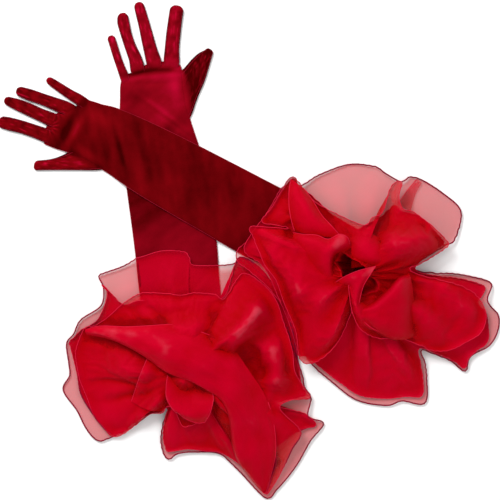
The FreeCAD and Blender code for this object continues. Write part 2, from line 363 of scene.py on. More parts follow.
class Ground:
    """Height of whatever lies below, as a raster over the table."""

    def __init__(self):
        self.z = np.zeros((CELLS, CELLS))

    def at(self, x, y):
        fx, fy = (np.clip((v - CORNER) / CELL, 0, CELLS - 1.001) for v in (x, y))
        i, j = fx.astype(int), fy.astype(int)
        u, v = fx - i, fy - j
        z = self.z
        return ((1 - u) * (1 - v) * z[i, j] + u * (1 - v) * z[i + 1, j]
                + (1 - u) * v * z[i, j + 1] + u * v * z[i + 1, j + 1])

    def add(self, points, reach):
        """Raise the raster to the highest of a dense set of points, and a little around them."""
        layer = np.zeros_like(self.z)
        place = ((points[:, :2] - CORNER) / CELL + 0.5).astype(int)
        i, j = np.clip(place, 0, CELLS - 1).T
        np.maximum.at(layer, (i, j), points[:, 2])
        for _ in range(reach):
            grown = layer.copy()
            for step in ((1, 0), (-1, 0), (0, 1), (0, -1)):
                grown = np.maximum(grown, np.roll(layer, step, (0, 1)) - 0.6)
            layer = grown
        self.z = np.maximum(self.z, layer)

    def soften(self, times):
        for _ in range(times):
            z = self.z
            around = sum(np.roll(z, step, axis) for axis in (0, 1) for step in (1, -1))
            self.z = np.maximum(z, around / 4)


SLEEVE_END = 90


def sleeve_top(glove):
    """Top of a sleeve lying on the table, over the raster; 0 away from it."""
    a, l = glove.lay.local(np.stack(CENTRES, -1))
    left, right, crown = profile(glove.stations, l)
    mid, half = (left + right) / 2, (right - left) / 2
    t = np.clip(np.abs(a - mid) / half, 0, 1)
    inside = (np.abs(a - mid) < half) & (l > glove.mouth) & (l < SLEEVE_END)
    edge = np.minimum((1 - t) * half / 4.0, 1)
    arch = 2.0 + (crown - 2.0) * np.sqrt(np.clip(1 - t**2.4, 0, 1))
    slope = 1.0 + 3.0 * edge + (crown - 4) * np.clip(1 - t**2, 0, 1)
    return np.where(inside, np.minimum(arch, slope), 0.0)


# ---- hand and sleeve ----

EDGE_ROUND = 3.6
EDGE_MIDDLE = 1.932
EDGE_RISE = 2.2


def section(d_left, d_right, crown):
    """Upper and lower height of a flattened cloth tube, by distance to its two edges."""
    d = np.minimum(d_left, d_right)
    half = (d_left + d_right) / 2
    round_off = np.sqrt(np.clip(1 - (1 - np.clip(d / EDGE_ROUND, 0, 1)) ** 2, 0, 1))
    arch = np.sin(0.5 * math.pi * np.clip(d / half, 0, 1)) ** 0.9
    top = EDGE_MIDDLE + EDGE_RISE * round_off + (crown - EDGE_MIDDLE - EDGE_RISE) * arch
    return top, EDGE_MIDDLE - (EDGE_MIDDLE - 0.25) * round_off


def build_sleeve(glove, under):
    """Hand and arm as one flattened tube, closed at the finger roots and open at the mouth."""
    along = np.concatenate([np.arange(glove.mouth, 60, 3.0), np.linspace(60, 100, 26)])
    # columns lie closer together towards the edges
    bend = 0.94 * math.pi / 2
    across = np.sin(np.linspace(-1, 1, 71) * bend) / math.sin(bend)
    left, right, crown = (v[:, None] for v in profile(glove.stations, along))
    a = (left + right) / 2 + (right - left) / 2 * across
    web = smooth_interp(across, *np.array(glove.front).T)
    l = along[:, None] + (web - 100) * smoothstep(20, 100, along)[:, None]
    top, bottom = section(a - left, right - a, crown)
    close = np.clip(1 - ((along - 82) / 18.0).clip(0, 1) ** 1.8, 0, 1)[:, None]
    top = bottom + (top - bottom) * (0.14 + 0.86 * close)
    xy = glove.lay.at(a, l)
    floor = under(xy[..., 0], xy[..., 1])
    off_edge = smoothstep(0, 9, np.minimum(a - left, right - a))
    wrinkles = glove.wrinkles(a, l) * (0.25 + 0.75 * off_edge) * close
    top_z = np.maximum(floor + top + wrinkles, floor + bottom + 0.3)
    upper = np.concatenate([xy, top_z[..., None]], -1)
    lower = np.concatenate([xy, (floor + bottom)[..., None]], -1)
    ring = np.concatenate([upper, lower[:, 1:-1][:, ::-1]], 1)
    rows, cols = a.shape
    n = ring.shape[1]
    faces = grid_faces(rows, n, wrap_cols=True)
    last = (rows - 1) * n

    def below(c):
        return last + (c if c in (0, cols - 1) else n - c)

    for c in range(cols - 1):
        corners = (last + c + 1, last + c, below(c), below(c + 1))
        faces.append(tuple(dict.fromkeys(corners)))
    obj = make_mesh(glove.body + "_velvet", ring, faces)
    nap = glove.nap(a, l)
    set_float(obj, "nap", np.concatenate([nap, nap[:, 1:-1][:, ::-1]], 1))
    dress(obj, glove.velvet)
    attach(obj, glove.body)
    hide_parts(glove.side + "_back_panel", glove.side + "_palm_panel")
    return obj, (upper[:, 0], upper[:, -1])


LIMB_STATIONS = 44
TIP_STATIONS = 9


def limb(name, glove, left, right, height, tip_round, tone, seed, quarter=15):
    """A finger or thumb: an inflated tube between its two outlines, with a round tip."""
    n = LIMB_STATIONS
    s = np.linspace(0, 1, n)
    L, R = (np.stack([smooth_interp(s, np.linspace(0, 1, len(edge)), edge[:, k]) for k in (0, 1)], -1)
            for edge in (left, right))
    mid, half = (L + R) / 2, (R - L) / 2
    # the round tip is added past the last station
    k = np.linspace(0, 1, TIP_STATIONS + 1)[1:] * math.pi / 2
    mid = np.concatenate([mid, mid[-1] + unit(mid[-1] - mid[-4]) * (np.sin(k) * tip_round)[:, None]])
    half = np.concatenate([half, half[-1][None] * np.cos(k * 0.97)[:, None]])
    total = np.concatenate([[0], np.cumsum(lengths(np.diff(mid, axis=0)))])
    # it rises from its root and falls round its tip
    tall = np.full(len(mid), float(height))
    tall[n:] = height * (0.35 + 0.65 * np.cos(k) ** 0.7)
    tall = (tall * (0.55 + 0.45 * smoothstep(0, 15, total)))[:, None]
    angle = np.linspace(0, 2 * math.pi, 4 * quarter, endpoint=False)
    # squarer across than an oval, as cloth lies
    cx = np.sign(np.cos(angle)) * np.abs(np.cos(angle)) ** 0.72
    sz = np.sign(np.sin(angle)) * np.abs(np.sin(angle)) ** 0.92
    across = mid[:, None] + half[:, None] * cx[None, :, None]
    z = 0.25 + tall * 0.42 + np.where(sz > 0, tall * 0.58, tall * 0.42) * sz
    run = total[:, None] + 0 * z
    sideways = cx * lengths(half)[:, None] + 37.0 * seed
    puff = fbm(run, sideways, 11.0, seed, 2)
    crush = fbm(run * 0.28 + 0.25 * puff, sideways * 1.15, 3.6, seed + 9, 2)
    z = z + (puff * 0.8 + crush * 0.35) * np.maximum(sz, 0)
    points = np.concatenate([glove.lay.at(across[..., 0], across[..., 1]), z[..., None]], -1)
    rows, m = z.shape
    faces = grid_faces(rows, m, wrap_cols=True)
    faces.append(tuple(range(m))[::-1])
    faces.append(tuple(range((rows - 1) * m, rows * m)))
    obj = make_mesh(name, points, faces)
    # Painted light on the velvet: bright streaks along the finger as painted highlights, and painted
    # shade on its sides.
    painted_light_streaks = np.clip(crush - 0.12, 0, 1) * 0.6 - 0.42 * smoothstep(0.62, 0.98, np.abs(cx))
    patch = -0.24 * np.clip(puff, 0, 1) + 0.16 * np.clip(-puff, 0, 1)
    nap = glove.nap(across[..., 0], across[..., 1])
    off_root = smoothstep(6, 22, total)[:, None]
    set_float(obj, "nap", nap + off_root * (tone - nap + painted_light_streaks + patch))
    sides = [np.argmin(np.abs(angle - math.radians(degrees))) for degrees in (38, 142)]
    seams = [points[4:rows - 2, side] + [0, 0, 0.05] for side in sides]
    return dress(obj, glove.velvet), seams


def strip(points):
    """Left and right outline of a finger from (across, along, width) stations."""
    p = np.asarray(points, float)
    tangent = unit(np.gradient(p[:, :2], axis=0))
    normal = np.stack([tangent[:, 1], -tangent[:, 0]], -1)
    return p[:, :2] - normal * p[:, 2:] / 2, p[:, :2] + normal * p[:, 2:] / 2


LEFT_LIMBS = {
    "little": dict(at=[(-37.5, 84, 13), (-39.5, 97, 14), (-43.2, 112, 12.4), (-46.8, 129, 12.0),
                       (-49.6, 145, 12), (-51.3, 154.5, 12)], tip=6),
    "ring": dict(at=[(-17, 92, 20), (-18.3, 106, 22), (-20.0, 122, 19.5), (-24.8, 140, 17.2),
                     (-28.4, 158, 16.8), (-30.6, 176, 18.2), (-30.6, 183, 17.2)], tip=9),
    "middle": dict(at=[(9, 97, 20), (7.5, 111, 23), (4.6, 130, 20.6), (2.2, 150, 19),
                       (0.2, 168, 17.6), (-2.6, 188, 16.4), (-3.8, 197, 15.5)], tip=8),
    "index": dict(at=[(31, 96, 20), (33.8, 110.5, 24), (36.6, 128, 22), (41.5, 150, 21.6),
                      (47.2, 172, 21), (50.6, 184, 21)], tip=9),
}
RIGHT_LIMBS = {
    "little": dict(at=[(-29.5, 58, 16), (-31.2, 75, 16.6), (-31.9, 92, 14.8), (-33.4, 110, 13.6),
                       (-34.8, 125, 12)], tip=8),
    "ring": dict(at=[(-11.5, 74, 19), (-10.4, 88, 21), (-8.0, 106, 19.2), (-5.3, 125, 17.6),
                     (-2.2, 143, 17.8), (0.2, 157, 15.5)], tip=8),
    "middle": dict(at=[(12.5, 83, 19), (14.6, 97, 21.4), (16.4, 115, 19.6), (17.8, 135, 19.2),
                       (19.6, 152, 17.6), (21.4, 166, 14)], tip=8),
    "index": dict(at=[(38, 80, 19), (39.8, 94, 21), (42.2, 110, 20), (45.8, 130, 19.6),
                      (50.4, 148, 20), (53.4, 159, 18.5)], tip=7),
}
# thumb outlines, upper edge then lower edge, from the root to the tip
LEFT_THUMB = ([(41, 93), (50, 97), (63.8, 109.3), (75, 117), (86, 121)],
              [(43, 14), (53.5, 27), (66, 52), (79.7, 75.4), (96.5, 113)])
RIGHT_THUMB = ([(38, 48), (46, 52), (60, 62.5), (70, 73.5), (78.5, 86)],
               [(38, -14), (49.7, 2.4), (62, 25), (76.5, 52), (92.5, 80.5)])


# ---- how the velvet lies, and the light and shade painted on it ----


def fold(a, l, at, slant, width, reach, centre):
    """A soft ridge that crosses the glove at `at`, leaning by `slant`, fading past `reach`."""
    return ridge(l - at - slant * (a - centre), width) * ridge(a - centre, reach)


def folds(a, l, rows):
    """Several of them; the first number of each is its strength."""
    return sum(strength * fold(a, l, *place) for strength, *place in rows)


def patches(a, l, rows):
    """Soft round patches: strength, place across and along, size across and along."""
    return sum(s * ridge(np.hypot((a - pa) / wa, (l - pl) / wl), 1) for s, pa, pl, wa, wl in rows)


def left_wrinkles(a, l):
    z = 0.7 * fbm(a * 0.9 + 0.5 * l, l - 0.45 * a, 34.0, 3.1)
    z = z + 0.5 * fbm(a + 40, l * 0.7, 15.0, 7.7) * smoothstep(-60, 40, l)
    return z + folds(a, l, [
        (-1.3, 80, -0.10, 3.2, 34, 4), (0.9, 72, -0.10, 6, 34, 4), (1.0, 10, 0.75, 9, 30, 5),
        (-0.7, -5, 0.75, 7, 34, 5), (0.9, -35, 0.55, 8, 40, -8), (0.7, 42, -0.6, 7, 28, -14)])


def left_nap(a, l):
    # Painted light and shade on the left glove: the knuckle line is painted as a dark crease with a
    # painted highlight just below it, and the folds and patches paint broad highlights and shade. The
    # hand is lighter than the arm, the middle of the arm darker and its mouth end lighter again.
    knuckle_crease_shade = ridge(l - 101 + 0.0025 * (a - 8) ** 2 + 0.06 * a, 4.5) * smoothstep(46, 30, np.abs(a + 2))
    tone = 0.26 + 0.26 * smoothstep(-40, 10, l) - 0.40 * knuckle_crease_shade + 0.10 * ridge(l - 91 + 0.05 * a, 4)
    tone = tone + folds(a, l, [(0.20, 36, -0.95, 6, 30, 12), (0.20, 18, -0.95, 5, 26, 20),
                               (-0.20, 27, -0.95, 6, 26, 14), (-0.20, -2, 0.5, 10, 50, 0)])
    tone = tone + patches(a, l, [(0.22, 34, 72, 9, 26), (-0.22, -26, 66, 22, 18)])
    tone = tone - 0.10 * smoothstep(-30, -60, l) * smoothstep(-130, -80, l)
    return tone + 0.12 * fbm(0.4 * a, l - 0.5 * a, 22.0, 5.5) + 0.25 * smoothstep(-100, -190, l)


def gathers(a, l):
    """The small radiating gathers on either side of the middle finger's root."""
    total = 0.0
    for centre, web in ((24, 96), (-4, 97)):
        r = np.hypot(a - centre, l - web)
        around = np.arctan2(l - web, a - centre)
        total = total + np.cos(13 * around + 0.12 * r) * ridge(r - 9, 4.5) * smoothstep(6, -4, l - web)
    return total


def right_wrinkles(a, l):
    z = 0.7 * fbm(a + 0.25 * l, l * 1.2 - 0.35 * a, 30.0, 9.4) + 0.55 * gathers(a, l)
    return z + folds(a, l, [
        (-1.2, 70, -0.04, 5, 34, 12), (1.0, 57, -0.02, 6, 30, 12), (-1.1, -12, -0.94, 6, 30, 2),
        (0.9, 2, -0.94, 8, 30, 2), (0.8, -92, -0.5, 9, 40, 10), (0.7, -150, 0.45, 9, 40, -5)])


def right_nap(a, l):
    # Painted light and shade on the right glove: the puckers by the middle finger and the fold ridges
    # that match right_wrinkles are painted lighter and their grooves darker, and the patches are painted
    # highlights.
    tone = 0.34 - 0.09 * smoothstep(-60, 0, l) + 0.16 * smoothstep(76, 90, l)
    tone = tone + 0.30 * np.clip(gathers(a, l), -0.4, 1) + folds(a, l, [
        (-0.26, 70, -0.04, 6, 30, 14), (0.26, 57, 0.0, 5, 26, 12), (-0.26, -12, -0.94, 6, 22, 2),
        (0.10, 4, -0.94, 7, 30, 2), (-0.12, -60, -0.8, 9, 30, 4), (-0.12, -138, -0.4, 16, 40, -10)])
    tone = tone + patches(a, l, [(0.20, -22, 36, 12, 22), (0.18, 34, 28, 7, 26)])
    return tone + 0.14 * fbm(0.4 * a, l + 0.7 * a, 22.0, 2.2)


# `front` is how far along the hand ends at each place across it, where the fingers begin. A glove
# lies as two layers, so `panel`, its flat size in metres, is that of one: half its girth, by its
# length from the finger roots to the mouth.
LEFT_GLOVE = SimpleNamespace(
    side="left", body="left_glove", lay=LEFT, stations=LEFT_STATIONS, mouth=-350, velvet=VELVET_LEFT,
    wrinkles=left_wrinkles, nap=left_nap, limbs=LEFT_LIMBS, thumb=LEFT_THUMB, finger_tone=0.46,
    thumb_tone=0.16, seed=4, panel=(0.117, 0.455),
    front=[(-1.001, 92), (-0.9, 97), (-0.62, 102), (-0.35, 107), (-0.05, 111.5), (0.25, 112), (0.45, 112),
           (0.8, 110), (1.001, 103)])
RIGHT_GLOVE = SimpleNamespace(
    side="right", body="right_glove", lay=RIGHT, stations=RIGHT_STATIONS, mouth=-405, velvet=VELVET_RIGHT,
    wrinkles=right_wrinkles, nap=right_nap, limbs=RIGHT_LIMBS, thumb=RIGHT_THUMB, finger_tone=0.36,
    thumb_tone=0.46, seed=5, panel=(0.108, 0.495),
    front=[(-1.001, 70), (-0.85, 73), (-0.62, 76), (-0.4, 86), (-0.2, 93), (0.1, 99), (0.3, 100),
           (0.62, 98), (0.85, 95), (1.001, 90)])
GLOVES = (LEFT_GLOVE, RIGHT_GLOVE)

table = Ground()

# The right sleeve lies over the left one, sagging to the table on either side of it.
bridge = Ground()
bridge.z = sleeve_top(LEFT_GLOVE)
bridge.z = np.where(bridge.z > 0.5, bridge.z + 1.0, 0)
bridge.soften(60)

left_hand, left_edges = build_sleeve(LEFT_GLOVE, table.at)
right_hand, right_edges = build_sleeve(RIGHT_GLOVE, bridge.at)

for glove, edges in zip(GLOVES, (left_edges, right_edges)):
    side_seams = [stitch_line(f"{glove.side}_{edge}_seam", path + [0, 0, 0.3], 0.45)
                  for edge, path in zip(("outer", "inner"), edges)]
    for piece in side_seams:
        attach(piece, glove.body)
    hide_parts(glove.side + "_side_seams")

FINGER_HEIGHT = 6.4
THUMB_HEIGHT = 5.2
THUMB_TIP = 5
HINGE_HEIGHT = 5


def hinge_to_hand(glove, body, obj, seams, root, away, reach, nodes):
    """Makes the stitches along a finger or thumb, bakes its and their transforms, and hides the pieces it
    stands in for.
    """
    stitches = [stitch_line(f"{body}_seam_{i}", path, 0.32) for i, path in enumerate(seams)]
    ends = [tuple(np.append(glove.lay.at(*(root + away * far)), HINGE_HEIGHT) * MM) for far in reach]
    for piece in [obj, *stitches]:
        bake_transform(piece)
    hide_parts(*(f"{body}_{node}" for node in nodes))
    return stitches


for glove in GLOVES:
    for k, (finger, spec) in enumerate(glove.limbs.items()):
        body = f"{glove.side}_{finger}"
        at = np.array(spec["at"], float)
        obj, seams = limb(body + "_velvet", glove, *strip(at), FINGER_HEIGHT, spec["tip"],
                          glove.finger_tone, 5 * k + glove.seed)
        root = at[1, :2]
        stitches = hinge_to_hand(glove, body, obj, seams, root, unit(at[3, :2] - root), (-1, 13),
                                 ("back", "front", "fourchettes"))

for glove in GLOVES:
    body = glove.side + "_thumb"
    upper, lower = (np.array(edge, float) for edge in glove.thumb)
    obj, seams = limb(body + "_velvet", glove, upper, lower, THUMB_HEIGHT, THUMB_TIP, glove.thumb_tone,
                      31 + glove.seed, 17)
    edge = unit(upper[1] - lower[1])
    away = np.array([edge[1], -edge[0]])
    root = (upper[1] + lower[1]) / 2
    stitches = hinge_to_hand(glove, body, obj, seams, root, away, (-4, 14), ("back", "front"))


# ---- ruffles ----


def spline(a, b, c, d, s):
    """Points between b and c on a smooth curve through a, b, c and d."""
    return 0.5 * (2 * b + (c - a) * s + (2 * a - 5 * b + 4 * c - d) * s**2
                  + (3 * b - a - 3 * c + d) * s**3)


def closed_curve(points, n):
    """n evenly spaced points of a smooth closed curve through `points`."""
    p = np.asarray(points, float)
    s = np.linspace(0, 1, 16, endpoint=False)[:, None]
    around = [np.roll(p, shift, 0)[:, None] for shift in (1, 0, -1, -2)]
    dense = np.concatenate([spline(*around, s).reshape(-1, p.shape[1]), p[:1]])
    along = np.concatenate([[0], np.cumsum(lengths(np.diff(dense[:, :3], axis=0)))])
    want = np.linspace(0, along[-1], n, endpoint=False)
    return np.stack([np.interp(want, along, dense[:, k]) for k in range(p.shape[1])], -1)


def open_curve(points, n):
    """n points along a smooth open curve through `points`, over the first axis."""
    p = np.asarray(points, float)
    p = np.concatenate([2 * p[:1] - p[1:2], p, 2 * p[-1:] - p[-2:-1]])
    t = np.linspace(0, len(p) - 3, n)
    i = np.minimum(t.astype(int), len(p) - 4)
    return spline(p[i], p[i + 1], p[i + 2], p[i + 3], (t - i).reshape((-1,) + (1,) * (p.ndim - 1)))


def periodic_blur(values, sigma):
    n = len(values)
    k = np.fft.rfftfreq(n) * n
    keep = np.exp(-0.5 * (2 * math.pi * k * sigma / n) ** 2)
    return np.fft.irfft(np.fft.rfft(values) * keep, n)


def bearings(hem, centre):
    """Where on the throat each column starts: the hem's bearing, evened out and never turning back."""
    d = hem[:, :2] - centre
    angle = np.unwrap(np.arctan2(d[:, 1], d[:, 0]))
    n = len(angle)
    turn = 2 * math.pi * np.sign(angle[-1] - angle[0])
    drift = turn * np.arange(n) / n
    eased = drift + periodic_blur(angle - drift, n * 0.022)
    forward = np.maximum.accumulate(eased * np.sign(turn))
    steps = np.diff(np.append(forward, forward[0] + 2 * math.pi))
    steps = np.maximum(steps, 0.25 * 2 * math.pi / n)
    steps *= 2 * math.pi / steps.sum()
    return (forward[0] + np.concatenate([[0], np.cumsum(steps[:-1])])) * np.sign(turn)


def wave(n, count, seed, rough=0.6):
    """A periodic fold pattern with about `count` folds, no two alike, from -1 to 1."""
    rng = np.random.default_rng(seed)
    x = np.arange(n) / n
    out = np.zeros(n)
    for k in range(max(1, int(count * 0.6)), int(count * 1.5) + 1):
        strength = math.exp(-(((k - count) / (rough * count)) ** 2))
        out += np.cos(2 * math.pi * (k * x + rng.random())) * strength
    return out / np.abs(out).max()


# How the cloth settles: what it may stretch, how it resists bending, its weight at each step, its
# thickness over what it lies on, and how strongly its hem and the rest keep their places.
SLACK = 1.03
BEND = 0.2
BEND_REST = 0.985
WEIGHT = 0.10
GAP = 0.9
HOLD = 0.05
KEEP = 0.012
STEPS = 110


def project(p, w, a, b, rest, stiff, push):
    """Moves pairs of points towards their rest distance; a and b are matching views of p."""
    d = p[b] - p[a]
    size = np.sqrt((d * d).sum(-1)) + 1e-9
    off = (size - rest) / size
    if not push:
        off = np.minimum(off, 0)
    wa, wb = w[a], w[b]
    d *= (stiff * off / np.maximum(wa + wb, 1e-9))[..., None]
    p[a] += d * wa[..., None]
    p[b] -= d * wb[..., None]


def relax(p, cap):
    """Lets a ruffle settle: cloth that hardly stretches, bends softly and rests on what is below."""
    rows, cols, _ = p.shape
    target = p.copy()
    w = np.ones((rows, cols))
    w[0] = 0.0
    w[1] = 0.3
    free = w > 0.5
    row, col = np.arange(rows)[:, None], np.arange(cols)[None]
    links = []

    def length(a, b):
        return lengths(p[b] - p[a])

    def link(r, c, down, along, stiff, bends=False):
        a, b = (r, c), (r + down, (c + along) % cols)
        if bends:
            mid = (r + down // 2, (c + along // 2) % cols)
            rest = (length(a, mid) + length(mid, b)) * BEND_REST
        else:
            rest = length(a, b) * SLACK
        links.append((a, b, rest, stiff, not bends))

    for start in (0, 1):
        every_other = row[start:-1:2]
        link(every_other, col, 1, 0, 1.0)
        link(row, col[:, start::2], 0, 1, 1.0)
        link(every_other, col, 1, 1, 0.35)
        link(every_other, (col + 1) % cols, 1, -1, 0.35)
    for start in (0, 2):
        two_of_four = row[:-2][row[:-2] % 4 // 2 == start // 2][:, None]
        link(two_of_four, col, 2, 0, BEND, True)
        link(row, col[:, (col % 4 // 2 == start // 2)[0]], 0, 2, BEND, True)

    before = p.copy()
    for _ in range(STEPS):
        speed = (p - before) * 0.90
        before = p.copy()
        p += speed * free[..., None]
        p[..., 2] -= WEIGHT * free
        for _ in range(2):
            for pair in links:
                project(p, w, *pair)
        p[-1] += HOLD * (target[-1] - p[-1])
        p[1:-1] += KEEP * (target[1:-1] - p[1:-1])
        floor = ground.at(p[..., 0], p[..., 1]) + GAP
        low = (p[..., 2] < floor) & free
        p[..., 2] = np.where(low, floor, p[..., 2])
        before[low] = before[low] * 0.3 + p[low] * 0.7
        p[..., 2] = np.minimum(p[..., 2], cap)
    return p


COLS, ROWS = ((320, 36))

# The inner edge of a ruffle strip is cut this many times longer than the throat it is gathered to.
GATHER = 2.0


def path_length(points, closed=False):
    p = np.asarray(points, float)[:, :3]
    if closed:
        p = np.concatenate([p, p[:1]])
    return lengths(np.diff(p, axis=0)).sum()


def curved_strip(depth, outer, inner):
    """Depth, outer edge and area of a curved strip, as cut."""
    return depth, outer, depth * (outer + inner) / 2


def fold_strip(rows):
    """The same for a fold shaped by rows of points: as wide as its rows, as deep as they are apart."""
    across = np.mean([path_length(row) for row in rows])
    down = path_length([np.mean(row, axis=0) for row in rows])
    return curved_strip(down, across, across)


def build_tier(throat, centre, hem_points, spec):
    """One ruffle tier, from the oval throat out to its hem, and the strip it is cut from."""
    hem = closed_curve(hem_points, COLS)
    angle = bearings(hem, centre)
    turned = angle - math.radians(throat["tilt"])
    reach = 1 / np.hypot(np.cos(turned) / throat["long"], np.sin(turned) / throat["short"])
    reach = (reach + spec["grow"]) * (1 + 0.16 * wave(COLS, 9, spec["seed"] + 50))
    ring = centre + reach[:, None] * np.stack([np.cos(angle), np.sin(angle)], -1)
    lip = spec["throat_z"] - 4 * np.cos(2 * turned)
    v = (np.linspace(0, 1, ROWS) ** 1.15)[:, None]
    xy = ring + (hem[:, :2] - ring) * v[..., None]
    rise = lip - hem[:, 2]
    z = hem[:, 2] + rise * (1 - v) ** spec["fall"] + hem[:, 3] * np.sin(math.pi * v)
    radial = hem[:, :2] - ring
    size = lengths(radial)
    radial = radial / size[:, None]
    side = np.stack([-radial[:, 1], radial[:, 0]], -1)
    full = np.clip(size / 90, 0.25, 1.3)
    for count, height, where, seed in spec["folds"]:
        lines = wave(COLS, count, seed)
        slope = np.gradient(lines) * COLS / (2 * math.pi * count)
        amount = height * ridge(v - where, 0.33) * np.clip(v / 0.10, 0, 1)
        z = z + amount * (full * (lines + 0.35))
        xy = xy + 0.6 * (amount * (full * slope))[..., None] * side
    for x0, y0, x1, y1, width, height in spec["ridges"]:
        start, run = np.array([x0, y0]), np.array([x1 - x0, y1 - y0])
        share = np.clip(((xy - start) @ run) / (run @ run), 0, 1)
        away = lengths(xy - start - share[..., None] * run)
        z = z + height * ridge(away, width) * np.clip(v / 0.12, 0, 1)
    pleats = wave(COLS, spec["pleats"], spec["seed"], 0.25)
    fade = np.clip(1 - v / 0.55, 0, 1) ** 1.5
    z = z + spec["pleat"] * fade * pleats * np.clip(v / 0.05, 0.25, 1)
    z = np.maximum(z, ground.at(xy[..., 0], xy[..., 1]) + 1.0)
    deep = np.hypot(size, rise).mean()
    cut = curved_strip(deep, path_length(hem, True), GATHER * path_length(ring, True))
    return relax(np.concatenate([xy, z[..., None]], -1), spec["cap"]), cut


# The rise above the cloth round about over which painted shade turns into painted highlight.
CREST_HEIGHT = 15.0


def relief_level(grids):
    """The height of the cloth round about each place, to tell its crests from its hollows for the painted
    light and shade.
    """
    relief = Ground()
    for p, _, _ in grids:
        relief.add(p.reshape(-1, 3), 2)
    covered = (relief.z > 1.0).astype(float)
    total = relief.z * covered
    for _ in range(3):
        for axis in (0, 1):
            total = sum(np.roll(total, k, axis) for k in range(-3, 4))
            covered = sum(np.roll(covered, k, axis) for k in range(-3, 4))
    relief.z = total / np.maximum(covered, 1e-6)
    return relief


def cloth_piece(name, grids, material, painted_shade_drop=0.0):
    """One piece of organza made of several folds: (points, wraps round, gathering) each."""
    relief = relief_level(grids)
    verts, faces, gather, count = [], [], [], 0
    for p, wraps, full in grids:
        rows, cols, _ = p.shape
        faces += grid_faces(rows, cols, wraps, count)
        verts.append(p.reshape(-1, 3))
        gather.append(np.broadcast_to(full, (rows, cols)).ravel())
        count += rows * cols
    verts = np.concatenate(verts)
    # Height above the cloth round about sets the painted light: points in hollows and under other folds
    # get painted shade, points on crests painted highlight, and a drop lowers a whole piece into painted
    # shade.
    above = verts[:, 2] - relief.at(verts[:, 0], verts[:, 1])
    obj = make_mesh(name, verts, faces)
    set_float(obj, "gather", np.concatenate(gather))
    set_float(obj, "painted_crest_light", np.clip(0.55 - painted_shade_drop + above / CREST_HEIGHT, 0, 1))
    sub = obj.modifiers.new("soft", "SUBSURF")
    sub.levels = sub.render_levels = 1
    return dress(obj, material)


def near_throat(p):
    """1 at the throat, fading out over the first part of a tier."""
    return np.clip(1 - np.linspace(0, 1, p.shape[0]) / 0.22, 0, 1)[:, None]


HEM_RADIUS = 1.1
HEM_SIDES = 7


def hem_mesh(name, paths):
    """Rolled hems along several paths: (points, closed, how dark) each."""
    verts, faces, count = [], [], 0
    for path, closed, shade in paths:
        radius = HEM_RADIUS * (0.5 + 0.5 * shade)
        points, sides = tube_shape(path + [0, 0, 0.2], radius, HEM_SIDES, closed, count)
        verts.append(points)
        faces += sides
        count += len(points)
    obj = make_mesh(name, np.concatenate(verts), faces)
    set_float(obj, "outer", np.concatenate([np.repeat(shade, HEM_SIDES) for _, _, shade in paths]))
    return dress(obj, HEM)


def outer_shade(p, centre):
    """1 where a hem ends over the bare table, 0 where it lies on more cloth."""
    beyond = p[-1, :, :2] + 7 * unit(p[-1, :, :2] - centre)
    shade = (ground.at(beyond[:, 0], beyond[:, 1]) < 1.0).astype(float)
    return np.clip(periodic_blur(shade, 2.5), 0, 1)


# Folds with more points across than this are the broad ones, which crumple more.
NARROW_FOLD = 8


def petal(rows, seed):
    """A fold of the ruffle shaped by a few rows of points, with soft creases of its own."""
    crumple = 1.9 if len(rows[0]) > NARROW_FOLD else 0.9
    p = open_curve([open_curve(row, 36) for row in rows], 44)
    x, y = p[..., 0], p[..., 1]
    p[..., 2] += crumple * fbm(x, y, 15.0, seed, 2) + 3.0 * crumple * fbm(x, y, 42.0, seed + 3, 1)
    return p


def fan_points(p):
    """Dense points of a tier, for the raster of what lies below the next one."""
    halves = [(p + np.roll(p, -1, 1)) / 2, (p[1:] + p[:-1]) / 2]
    return np.concatenate([points.reshape(-1, 3) for points in [p, *halves]])


# Hems: place on the table, height, and how far the ruffle bows up on its way there.
LEFT_LOWER = [
    (-224, -84, 6, 6), (-253, -105, 5, 8), (-264, -126, 5, 8), (-274, -141, 4, 8), (-271, -171, 4, 8),
    (-270, -189, 4, 8), (-279, -210, 3.5, 8), (-259, -240, 3.5, 8), (-247, -264, 3.5, 8),
    (-235, -280, 3.5, 8), (-223, -286, 3.5, 8), (-205, -280, 6, 6), (-180, -268, 8, 6),
    (-150, -246, 12, 4), (-124, -236, 16, 2), (-131, -262, 8, 6), (-134, -285, 5, 8),
    (-129, -306, 4, 8), (-120, -313, 4, 8), (-108, -306, 6, 8), (-85, -303, 6, 10), (-47, -306, 6, 10),
    (-20, -328, 5, 10), (22, -370, 3, 8), (41, -357, 4, 8), (68, -324, 4, 8), (89, -288, 5, 8),
    (109, -260, 4, 6), (88, -250, 10, 6), (91, -222, 8, 6), (82, -205, 8, 6), (79, -190, 8, 6),
    (72, -168, 8, 4), (60, -130, 6, 4), (50, -90, 6, 4), (38, -55, 8, 4), (10, -30, 12, 4),
    (-8, -14, 16, 4), (-28, -21, 16, 6), (-60, -23, 16, 6), (-86, -22, 16, 6), (-90, -12, 18, 6),
    (-99, -3, 17, 6), (-130, -1.5, 16, 8), (-159, -10, 12, 6), (-171, -14, 9, 6), (-191, -25, 6, 6),
    (-218, -35, 5, 6), (-226, -41, 5, 6), (-220, -58, 9, 6),
]
